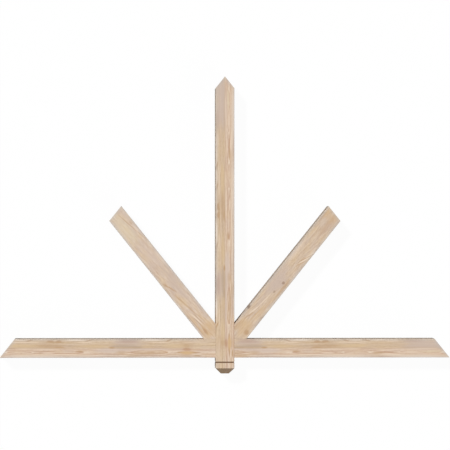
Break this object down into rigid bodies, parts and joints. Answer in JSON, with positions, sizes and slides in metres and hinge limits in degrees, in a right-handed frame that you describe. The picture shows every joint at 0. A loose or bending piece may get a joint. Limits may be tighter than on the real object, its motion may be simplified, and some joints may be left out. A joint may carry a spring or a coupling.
{
  "type": "timber gable bracket",
  "caption": "Open timber gable bracket: king post with pointed top and chamfered pendant, level beam and sloping braces, ends cut to a roof pitch, for dressing a gable peak.",
  "frame": {"origin": "on the back of the post, on its centre line, level with the underside of the beam", "axes": "+X to the right along the beam, +Y up the post towards the gable point, +Z out of the front face; the bracket lies on its back"},
  "size_m": [2.1336, 1.4097, 0.1397],
  "materials": {
    "planed_timber": "planed, unfinished"
  },
  "bodies": {
    "root": {"king_post": "planed_timber", "left_beam": "planed_timber", "right_beam": "planed_timber", "left_brace": "planed_timber", "right_brace": "planed_timber"}
  },
  "joints": []
}
